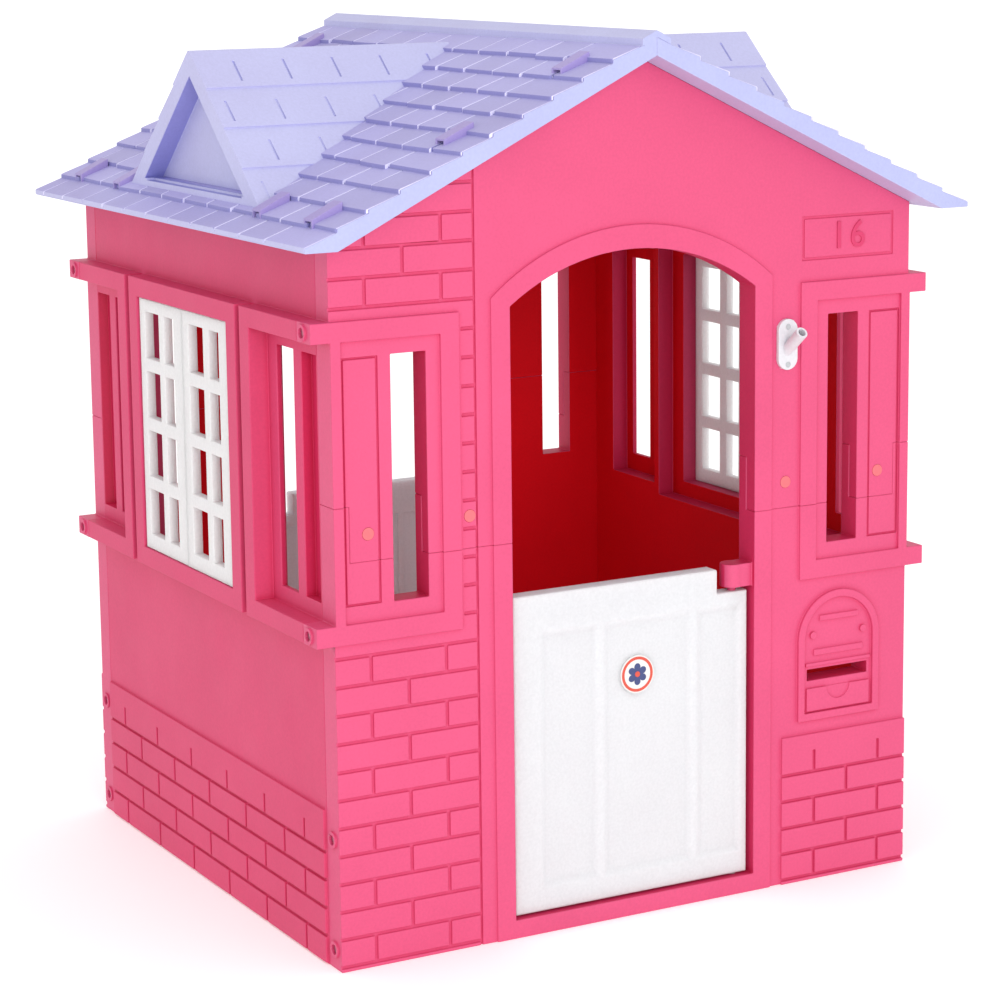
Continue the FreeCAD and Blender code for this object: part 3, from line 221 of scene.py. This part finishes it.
def segment_gap(first, second):
    """Smallest distance between two edges, tested at their ends and middles."""
    (a, b), (c, d) = first, second
    gap = 1.0
    for point, low, high in ((a, c, d), (b, c, d), ((a + b) / 2, c, d),
                             (c, a, b), (d, a, b), ((c + d) / 2, a, b)):
        near, share = intersect_point_line(point, low, high)
        near = low if share < 0 else high if share > 1 else near
        gap = min(gap, (near - point).length)
    return gap


def number_regions(shape, layer):
    """Give every flat area of a mesh its own number."""
    for face in shape.faces:
        face[layer] = 0
    count = 0
    for start in shape.faces:
        if start[layer]:
            continue
        count += 1
        start[layer] = count
        waiting = [start]
        while waiting:
            for edge in waiting.pop().edges:
                for other in edge.link_faces:
                    if not other[layer] and other.normal.angle(start.normal, 0) < FLAT_ANGLE:
                        other[layer] = count
                        waiting.append(other)


def room_for_rounding(shape, picked, width):
    """How wide a rounding each picked edge can take before it meets a neighbour's."""
    room = dict.fromkeys(picked, width)
    for face in shape.faces:
        edges = [edge for edge in face.edges if edge in room]
        for number, first in enumerate(edges):
            ends = [vertex.co for vertex in first.verts]
            reach = (ends[0] - ends[1]).length + 2.6 * width
            for second in edges[number + 1:]:
                others = [vertex.co for vertex in second.verts]
                if (ends[0] - others[0]).length > reach + (others[0] - others[1]).length:
                    continue
                shared = set(first.verts) & set(second.verts)
                if shared:
                    corner = shared.pop()
                    one = first.other_vert(corner).co - corner.co
                    two = second.other_vert(corner).co - corner.co
                    if one.length and two.length and one.angle(two) < CORNER_ANGLE:
                        room[first] = min(room[first], GAP_SHARE * two.length)
                        room[second] = min(room[second], GAP_SHARE * one.length)
                else:
                    gap = GAP_SHARE * segment_gap(ends, others)
                    room[first] = min(room[first], gap)
                    room[second] = min(room[second], gap)
    return room


def inside_outline(points, starts, ends):
    """Which points lie inside closed outlines given as many straight runs, by counting crossings."""
    px, py = points[:, 0, None], points[:, 1, None]
    ax, ay, bx, by = starts[:, 0], starts[:, 1], ends[:, 0], ends[:, 1]
    crosses = (ay > py) != (by > py)
    rise = np.where(by == ay, 1.0, by - ay)
    right = px < ax + (py - ay) / rise * (bx - ax)
    return (crosses & right).sum(axis=1) % 2 == 1


def refill_region(shape, faces, layer, number):
    """Fill one flat region again inside its outline, whatever edges crossed it before."""
    normal = sum((face.normal * face.calc_area() for face in faces), Vector())
    if normal.length == 0:
        return
    normal.normalize()
    inner = set(faces)
    outline = [edge for face in faces for edge in face.edges
               if sum(1 for other in edge.link_faces if other in inner) == 1]
    corners = list(dict.fromkeys(vertex for edge in outline for vertex in edge.verts))
    place = {vertex: index for index, vertex in enumerate(corners)}
    across = normal.orthogonal().normalized()
    up = normal.cross(across)
    flat = [Vector((vertex.co.dot(across), vertex.co.dot(up))) for vertex in corners]
    runs = [tuple(place[vertex] for vertex in edge.verts) for edge in outline]
    points, _, triangles, sources, _, _ = delaunay_2d_cdt(flat, runs, [], 0, 1e-8)
    if not triangles:
        return
    level = sum(vertex.co.dot(normal) for vertex in corners) / len(corners)
    made = []
    for point, source in zip(points, sources):
        if source:
            made.append(corners[source[0]])
        else:
            made.append(shape.verts.new(across * point.x + up * point.y + normal * level))
    flat = np.array([tuple(point) for point in flat])
    middles = np.array([tuple(sum((points[index] for index in triangle), Vector((0, 0))) / 3)
                        for triangle in triangles])
    starts = flat[[run[0] for run in runs]]
    ends = flat[[run[1] for run in runs]]
    keep = inside_outline(middles, starts, ends)
    material = faces[0].material_index
    bmesh.ops.delete(shape, geom=faces, context="FACES_ONLY")
    for triangle, wanted in zip(triangles, keep):
        ring = [made[index] for index in triangle]
        if not wanted or len(set(ring)) < 3 or shape.faces.get(ring):
            continue
        face = shape.faces.new(ring)
        face.normal_update()
        if face.normal.dot(normal) < 0:
            face.normal_flip()
        face[layer] = number
        face.material_index = material


def round_edges(mesh, width, segments, wanted):
    """A mesh with the wanted edges rounded where there is room, and its flat areas filled cleanly."""
    shape = bmesh.new()
    shape.from_mesh(mesh)
    bmesh.ops.remove_doubles(shape, verts=shape.verts, dist=SAME_PLACE)
    bmesh.ops.dissolve_limit(shape, angle_limit=FLAT_ANGLE, verts=shape.verts, edges=shape.edges)
    layer = shape.faces.layers.int.get("region") or shape.faces.layers.int.new("region")
    weights = shape.edges.layers.float
    weight = weights.get("bevel_weight_edge") or weights.new("bevel_weight_edge")
    number_regions(shape, layer)
    picked = [edge for edge in shape.edges if len(edge.link_faces) == 2 and wanted(edge)]
    room = room_for_rounding(shape, picked, width)
    for edge in shape.edges:
        allowed = room.get(edge, 0)
        edge[weight] = allowed / width if allowed > TINY_ROUND else 0
    work = bpy.data.meshes.new("rounding")
    shape.to_mesh(work)
    shape.free()
    work.materials.clear()
    for _ in range(2):
        work.materials.append(None)
    for face in work.polygons:
        face.material_index = 0
    holder = bpy.data.objects.new("rounding", work)
    bpy.context.scene.collection.objects.link(holder)
    bevel = holder.modifiers.new("round", "BEVEL")
    bevel.width = width
    bevel.segments = segments
    bevel.limit_method = "WEIGHT"
    bevel.use_clamp_overlap = False
    bevel.loop_slide = False
    bevel.material = 1
    result = bpy.data.meshes.new_from_object(holder.evaluated_get(bpy.context.evaluated_depsgraph_get()))
    bpy.data.objects.remove(holder)
    bpy.data.meshes.remove(work)
    shape = bmesh.new()
    shape.from_mesh(result)
    layer = shape.faces.layers.int["region"]
    regions = {}
    for face in shape.faces:
        if face.material_index == 0:
            regions.setdefault(face[layer], []).append(face)
        else:
            face[layer] = 0
    for number, faces in regions.items():
        if len(faces) > 1 or len(faces[0].verts) > 4:
            refill_region(shape, faces, layer, number)
    loose = [vertex for vertex in shape.verts if not vertex.link_faces]
    bmesh.ops.delete(shape, geom=loose, context="VERTS")
    shape.to_mesh(result)
    shape.free()
    return result


def smooth_shading(mesh):
    """Shade flat areas flat and roundings smoothly into them."""
    shape = bmesh.new()
    shape.from_mesh(mesh)
    layer = shape.faces.layers.int.get("region") or shape.faces.layers.int.new("region")
    shape.normal_update()
    region_sums = {}
    for face in shape.faces:
        if face[layer]:
            total = region_sums.setdefault(face[layer], Vector())
            total += face.normal * face.calc_area()
    sums = [region_sums[face[layer]] if face[layer] else face.normal * face.calc_area()
            for face in shape.faces]
    ways = [total.normalized() for total in sums]
    normals = []
    limit = math.cos(SMOOTH_ANGLE)
    for face in shape.faces:
        face.smooth = True
        own = ways[face.index]
        for vertex in face.verts:
            total = Vector()
            seen = set()
            for other in vertex.link_faces:
                number = other[layer]
                if (number == 0 or number not in seen) and ways[other.index].dot(own) > limit:
                    seen.add(number)
                    total += sums[other.index]
            normals.append(total.normalized() if total.length else own)
    shape.to_mesh(mesh)
    shape.free()
    mesh.normals_split_custom_set(normals)


def is_sharp(edge):
    return edge.calc_face_angle(0) > SHARP_ANGLE


def is_door_edge(edge):
    return edge.calc_face_angle(0) > DOOR_EDGE_ANGLE


def new_piece(name, mesh, body, slot, *materials):
    """Place a mesh in the scene as a piece of a body."""
    piece = bpy.data.objects.new(name, mesh)
    bpy.context.scene.collection.objects.link(piece)
    for material in materials:
        mesh.materials.append(material)
    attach(piece, body)
    return piece


def skin(name, material, width, body, slot, source=None, segments=2, wanted=is_sharp):
    """A softened copy of a CAD node that stands for it."""
    mesh = round_edges(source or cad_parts[name].data, width * MM, segments, wanted)
    smooth_shading(mesh)
    mesh.materials.clear()
    for face in mesh.polygons:
        face.material_index = 0
    piece = new_piece(f"{name}_skin", mesh, body, slot, material)
    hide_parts(name)
    return piece


# Places in mm from the middle of the house, a little past the walls' inner faces, past the jambs of their
# openings across x and y, and past the floors and inner sides of the side channels.
INNER_FACES = (424.8, 389.3)
SIDE_JAMBS = (457.5, 389)
GABLE_JAMBS = (455, 420)
CHANNELS = (445, 335)


def area_middles(mesh):
    """For each face, the middle of the flat area that it belongs to."""
    numbers = [mark.value or -1 - place for place, mark in enumerate(mesh.attributes["region"].data)]
    totals = {}
    for face, number in zip(mesh.polygons, numbers):
        total, area = totals.get(number, (Vector(), 1e-12))
        totals[number] = total + face.center * face.area, area + face.area
    return [totals[number][0] / totals[number][1] for number in numbers]


def wall_painted_shade(piece, side_wall):
    """Give the faces inside the house and in its openings deeper copies of the pink as painted shade."""
    piece.data.materials.append(PINK_INNER_SHADE)
    piece.data.materials.append(PINK_JAMB_SHADE)
    jambs = SIDE_JAMBS if side_wall else GABLE_JAMBS
    for face, middle in zip(piece.data.polygons, area_middles(piece.data)):
        x, y, _ = (abs(part) / MM for part in middle)
        along, out = (face.normal.x, face.center.x) if side_wall else (face.normal.y, face.center.y)
        # Faces inside the house get the painted inner shade.
        if y < INNER_FACES[1] and (x < INNER_FACES[0] or abs(along) > 0.5 and along * out < 0):
            face.material_index = 1
        # Jambs of the openings get the painted jamb shade.
        elif abs(along) < 0.3 and x < jambs[0] and y < jambs[1]:
            face.material_index = 2
        # The side channels' floors and inner sides get the painted jamb shade too.
        elif side_wall and x < CHANNELS[0] and y > CHANNELS[1]:
            face.material_index = 2


# Every group is listed with its nodes, finish, rounding in mm and slot.
for name in WALLS:
    side_wall = name.endswith("side_wall")
    wall_painted_shade(skin(name, PINK_SIDE_SHADE if side_wall else PINK, 1.5, "house", "pink_shell"), side_wall)
for names, material, width, slot in (
        (SCREWS, ZINC, 0.5, "steel_screws"), (PLUGS, CORAL, 0.6, "coral_plugs"),
        (PINS, PINK, 0.8, "pink_pins"), (("flag_holder",), TRIM_WHITE, 1.0, "white_trim")):
    for name in names:
        skin(name, material, width, "house", slot)
for name in SHUTTERS:
    skin(name, SHUTTER_WHITE, 1.2, name, "white_shutter")


# Panels sunk in the outer face of each door, and how far their foot lies inside their outline, in mm.
DOOR_PANELS = ((-150, -58), (-49, 94), (103, 176))
DOOR_PANEL_HEIGHTS = (62, 425)
PANEL_FACE = 418.5
PANEL_MIDDLE = sum(DOOR_PANEL_HEIGHTS) / 2
PANEL_RAMP = 7.5


def door_with_ramps(name, turn):
    """A door's mesh with the walls round its sunk panels laid back into ramps."""
    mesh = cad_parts[name].data.copy()
    for vertex in mesh.vertices:
        x, y, z = (part / MM for part in vertex.co)
        if abs(turn * y - PANEL_FACE) > 0.05:
            continue
        for low, high in DOOR_PANELS:
            across = -turn * x
            if low - 0.1 < across < high + 0.1:
                way = 1 if across < (low + high) / 2 else -1
                vertex.co.x -= turn * way * PANEL_RAMP * MM
                vertex.co.z += (PANEL_RAMP if z < PANEL_MIDDLE else -PANEL_RAMP) * MM
    return mesh


for name, turn in (("front_door", -1), ("back_door", 1)):
    skin(name, DOOR_WHITE, 3.0, name, "white_door", door_with_ramps(name, turn), 3, is_door_edge)
skin("door_badge", BADGE_PAPER, 0.3, "front_door", "badge_label")


# The roof's sizes in mm: courses of shingles on each slope, ridge cap, hooks over the wall tabs and dormers.
RIDGE_HEIGHT = 1226
SLOPE = 0.486
EAVE_RUN = 518
COURSE_RUN = 45
COURSES = 11
BUTT = 5
SHINGLE_WIDTH = 80.9
GABLE_EDGE = 485.5
COURSE_SLOPE = SLOPE - BUTT / COURSE_RUN
CAP_RUN = 23
EDGE_DEPTH = 0.5
HOOK_SPOTS = ((87, 407.5), (263, 407.5), (455, 407.5), (456, 250))
DORMER_FACE = 463
DORMER_BACK = 432
DORMER_SILL = 1020
# Heights against the plain slope, in mm: of the courses, and over which a hook's sides and its top are found.
COURSE_HEIGHTS = (-6, 7)
HOOK_FOOT = -3
HOOK_TOP = 6
# How far round a hook's middle its own faces reach down and along the slope, and those in its shade, in mm.
HOOK_REACH = (25, 15)
HOOK_SHADE = (30, 18)


def near_hook(x, y, reach):
    """Whether a place on a slope, in mm, lies within reach of one of its hooks."""
    return any(abs(x - run) < reach[0] and abs(y - side) < reach[1] for run, side in HOOK_SPOTS)


def roof_finish_and_painted_light(piece):
    """Tell slopes, butts, joints, hooks, fascias and dormer jambs from the rest of a roof half; butts,
    fascias and dormer jambs get painted shade and joints a painted highlight.
    """
    for material in (SHINGLE, SHINGLE_BUTT_SHADE, SHINGLE_SIDE_HIGHLIGHT, HOOK_MAUVE, FASCIA_SHADE, DORMER_JAMB_SHADE):
        piece.data.materials.append(material)
    for face in piece.data.polygons:
        x, y, z = (abs(part) / MM for part in face.center)
        rise = z - (RIDGE_HEIGHT - SLOPE * x)
        normal = face.normal
        if rise > HOOK_FOOT and near_hook(x, y, HOOK_REACH) and (rise > HOOK_TOP or abs(normal.y) > 0.5):
            face.material_index = 4
        # Fascias get painted shade.
        elif y > GABLE_EDGE - EDGE_DEPTH:
            face.material_index = 5
        # Dormer jambs get painted shade.
        elif rise > COURSE_HEIGHTS[1] and DORMER_BACK < x < DORMER_FACE and abs(normal.x) < 0.2 and (
                normal.z < -0.1 or normal.z > 0.95 and z < DORMER_SILL):
            face.material_index = 6
        elif not COURSE_HEIGHTS[0] < rise < COURSE_HEIGHTS[1] or not CAP_RUN <= x <= EAVE_RUN - EDGE_DEPTH:
            continue
        elif normal.z > 0.8 and abs(normal.y) < 0.1:
            face.material_index = 1
        # Butts get painted shade.
        elif abs(normal.x) > 0.9:
            face.material_index = 2
        # Joint sides get a painted highlight.
        elif abs(normal.y) > 0.9:
            face.material_index = 3


for name in ROOFS:
    roof_finish_and_painted_light(skin(name, LAVENDER, 1.0, "house", "lavender_roof"))


def rounded_outline(low_x, high_x, low_y, high_y, radius, lean):
    """Corner-rounded outline of a shingle, its lower edge leaning a little."""
    points = []
    near_x, far_x = low_x + radius, high_x - radius
    near_y, far_y = low_y + radius, high_y - radius
    corners = ((far_x, far_y, 0), (near_x, far_y, 90), (near_x, near_y, 180), (far_x, near_y, 270))
    for centre_x, centre_y, start in corners:
        for step in range(4):
            angle = math.radians(start + 30 * step)
            x = centre_x + radius * math.cos(angle)
            y = centre_y + radius * math.sin(angle)
            share = (y - low_y) / (high_y - low_y) - 0.5
            points.append((x + lean * share * (x - low_x) / (high_x - low_x), y))
    return points


# A raised shingle's sizes in mm: corner radius, height at its upper end, gap to its neighbours' middle line,
# and its rings from the foot up as inset from the outline and drop from the top face.
SHINGLE_CORNER = 3.0
SHINGLE_LOW = 0.6
SHINGLE_GAP = 2.1
SHINGLE_RINGS = ((0, 1.0), (0.3, 0.35), (1.0, 0))


def shingle(shape, side, number, low_y, high_y, chance):
    """One raised shingle: its lower edge stands past its course's by its own small amount."""
    butt_run = EAVE_RUN - COURSE_RUN * number
    past = chance.uniform(0.3, 1.8) if number == 0 else chance.uniform(0.5, 5.5)
    thick = chance.uniform(0.9, 1.9)
    low_x = butt_run - COURSE_RUN + 1
    high_x = butt_run + past
    lean = chance.uniform(-2.0, 2.0) if number else 0
    rings = []
    for inset, drop in ((0, thick + BUTT - 0.5), *SHINGLE_RINGS):
        ring = []
        outline = rounded_outline(low_x, high_x - inset, low_y + inset, high_y - inset, SHINGLE_CORNER, lean)
        for x, y in outline:
            top = RIDGE_HEIGHT - SLOPE * butt_run + BUTT + COURSE_SLOPE * (butt_run - x)
            lift = SHINGLE_LOW + (thick - SHINGLE_LOW) * (x - low_x) / (high_x - low_x)
            ring.append(shape.verts.new((side * x * MM, y * MM, (top + lift - drop) * MM)))
        rings.append(ring)
    for lower, upper in zip(rings, rings[1:]):
        for place in range(len(lower)):
            after = (place + 1) % len(lower)
            shape.faces.new((lower[place], lower[after], upper[after], upper[place]))
    shape.faces.new(rings[-1])
    shape.faces.new(rings[0])


def shingles(word, side, chance):
    """The raised shingles of one slope, staggered from course to course."""
    shape = bmesh.new()
    for number in range(COURSES):
        shift = 0 if number % 2 else 0.5
        joints = [SHINGLE_WIDTH * (place - 6 + shift) for place in range(1, 12)]
        edges = [-GABLE_EDGE, *joints, GABLE_EDGE]
        for low, high in zip(edges, edges[1:]):
            shingle(shape, side, number, low + SHINGLE_GAP, high - SHINGLE_GAP, chance)
    bmesh.ops.recalc_face_normals(shape, faces=shape.faces)
    mesh = bpy.data.meshes.new(f"roof_{word}_shingles")
    shape.to_mesh(mesh)
    shape.free()
    smooth_shading(mesh)
    new_piece(f"roof_{word}_shingles", mesh, "house", "lavender_roof",
              SHINGLE, SHINGLE_BUTT_SHADE, SHINGLE_SIDE_HIGHLIGHT, LAVENDER)
    # Painted shade on the butts and on the sides round the hooks, a painted highlight on the joint sides.
    for face in mesh.polygons:
        x, y, _ = (abs(part) / MM for part in face.center)
        if abs(face.normal.z) > 0.5:
            continue
        if near_hook(x, y, HOOK_SHADE):
            face.material_index = 1
        elif abs(face.normal.y) > abs(face.normal.x):
            face.material_index = 2
        else:
            face.material_index = 3 if x > EAVE_RUN - EDGE_DEPTH else 1


chance = random.Random(7)
shingles("left", -1, chance)
shingles("right", 1, chance)


# The raised number's middle and letter height, the badge's middle and the radii of its print, in mm.
NUMBER_PLACE = Vector((353.2, -426.3, 936)) * MM
NUMBER_SIZE = 54
BADGE_PLACE = Vector((6.5, -419.7, 345)) * MM
RING_OUTER = 25
RING_INNER = 21
FLOWER_RADIUS = 12.5
HEART_RADIUS = 4


def house_number():
    """Raised numerals on the number plate."""
    letters = bpy.data.curves.new("house_number", "FONT")
    letters.body = "16"
    letters.size = NUMBER_SIZE * MM
    letters.space_character = 1.2
    letters.align_x = "CENTER"
    letters.align_y = "CENTER"
    letters.extrude = 1.8 * MM
    letters.bevel_depth = 0.5 * MM
    letters.bevel_resolution = 2
    holder = bpy.data.objects.new("letters", letters)
    bpy.context.scene.collection.objects.link(holder)
    mesh = bpy.data.meshes.new_from_object(holder.evaluated_get(bpy.context.evaluated_depsgraph_get()))
    bpy.data.objects.remove(holder)
    mesh.transform(Matrix.Translation(NUMBER_PLACE) @ Matrix.Rotation(math.pi / 2, 4, "X"))
    mesh.materials.clear()
    new_piece("house_number", mesh, "house", "pink_shell", NUMERAL_PINK)


def badge_print(name, outline, thick, material, hole=None):
    """A thin print on the badge: an outline, with an optional one of the same count inside it."""
    shape = bmesh.new()
    rings = []
    layers = [(outline, 0), (outline, thick)] + ([(hole, thick), (hole, 0)] if hole else [])
    for ring, lift in layers:
        rings.append([shape.verts.new(BADGE_PLACE + Vector((x, 0.1 - lift, z)) * MM) for x, z in ring])
    for lower, upper in zip(rings, rings[1:]):
        for place in range(len(lower)):
            after = (place + 1) % len(lower)
            shape.faces.new((lower[place], lower[after], upper[after], upper[place]))
    if hole:
        for place in range(len(outline)):
            after = (place + 1) % len(outline)
            shape.faces.new((rings[-1][place], rings[-1][after], rings[0][after], rings[0][place]))
    else:
        shape.faces.new(rings[0])
        shape.faces.new(rings[-1])
    bmesh.ops.recalc_face_normals(shape, faces=shape.faces)
    mesh = bpy.data.meshes.new(name)
    shape.to_mesh(mesh)
    shape.free()
    new_piece(name, mesh, "front_door", "badge_label", material)


def around_circle(radius, count=72, wave=0.0, petals=0):
    """Points on a circle, or on a flower when its radius waves."""
    points = []
    for step in range(count):
        angle = 2 * math.pi * step / count
        reach = radius * (1 + wave * abs(math.cos(petals * angle / 2)) ** 0.7 - wave / 2 if petals else 1)
        points.append((reach * math.sin(angle), reach * math.cos(angle)))
    return points


house_number()
badge_print("badge_ring", around_circle(RING_OUTER), 0.35, BADGE_RING, around_circle(RING_INNER))
badge_print("badge_flower", around_circle(FLOWER_RADIUS, 120, 0.5, 6), 0.3, BADGE_BLUE)
badge_print("badge_flower_heart", around_circle(HEART_RADIUS), 0.6, BADGE_RING)


def stage_material():
    """The stage's own pale surface, with a little light of its own to meet the white studio."""
    material = bpy.data.materials.new("pale_floor")
    material.use_nodes = True
    shader = material.node_tree.nodes["Principled BSDF"]
    shader.inputs["Base Color"].default_value = (0.96, 0.96, 0.96, 1)
    shader.inputs["Roughness"].default_value = 0.8
    shader.inputs["Emission Color"].default_value = (1, 1, 1, 1)
    shader.inputs["Emission Strength"].default_value = 0.2
    return material


# Half the floor's width in m.
STAGE_HALF = 60


def stage():
    """A wide pale floor."""
    mesh = bpy.data.meshes.new("floor")
    shape = bmesh.new()
    bmesh.ops.create_grid(shape, x_segments=1, y_segments=1, size=STAGE_HALF)
    shape.to_mesh(mesh)
    shape.free()
    floor = bpy.data.objects.new("floor", mesh)
    bpy.context.scene.collection.objects.link(floor)
    mesh.materials.append(stage_material())


def area_light(name, place, aim, size, power):
    """A soft square light that looks at a point."""
    light = bpy.data.lights.new(name, "AREA")
    light.shape = "SQUARE"
    light.size = size
    light.energy = power
    lamp = bpy.data.objects.new(name, light)
    bpy.context.scene.collection.objects.link(lamp)
    lamp.location = place
    lamp.rotation_euler = (Vector(aim) - Vector(place)).to_track_quat("-Z", "Y").to_euler()


# The key light in m and W.
KEY_PLACE = (-1.2, -4.3, 1.5)
KEY_AIM = (0, 0, 0.7)
KEY_SIZE = 2.0
KEY_POWER = 66


def lighting():
    """Bright even studio light with a soft key low before the front wall."""
    world = bpy.data.worlds.new("studio")
    bpy.context.scene.world = world
    world.use_nodes = True
    world.node_tree.nodes["Background"].inputs["Color"].default_value = (1, 1, 1, 1)
    world.node_tree.nodes["Background"].inputs["Strength"].default_value = 1.0
    area_light("key", KEY_PLACE, KEY_AIM, KEY_SIZE, KEY_POWER)


# The camera, solved from the picture: place in m, lens and sensor in mm, directions in degrees.
CAMERA_PLACE = (-2.0467, -3.7574, 1.3856)
CAMERA_LENS = 104.5
CAMERA_SENSOR = 36
CAMERA_SHIFT = -0.08
CAMERA_AZIMUTH = 28.864
CAMERA_DROP = 9.854
CAMERA_ROLL = -0.654


def camera():
    """The measured viewpoint."""
    data = bpy.data.cameras.new("camera")
    data.sensor_width = CAMERA_SENSOR
    data.lens = CAMERA_LENS
    data.shift_y = CAMERA_SHIFT
    body = bpy.data.objects.new("camera", data)
    bpy.context.scene.collection.objects.link(body)
    azimuth, drop, roll = map(math.radians, (CAMERA_AZIMUTH, CAMERA_DROP, CAMERA_ROLL))
    level = Vector((math.sin(azimuth), math.cos(azimuth), 0))
    forward = level * math.cos(drop) - Vector((0, 0, math.sin(drop)))
    turn = forward.to_track_quat("-Z", "Y").to_matrix() @ Matrix.Rotation(roll, 3, "Z")
    body.matrix_world = Matrix.Translation(CAMERA_PLACE) @ turn.to_4x4()
    bpy.context.scene.camera = body


stage()
lighting()
camera()
bpy.context.scene.view_settings.view_transform = "Standard"
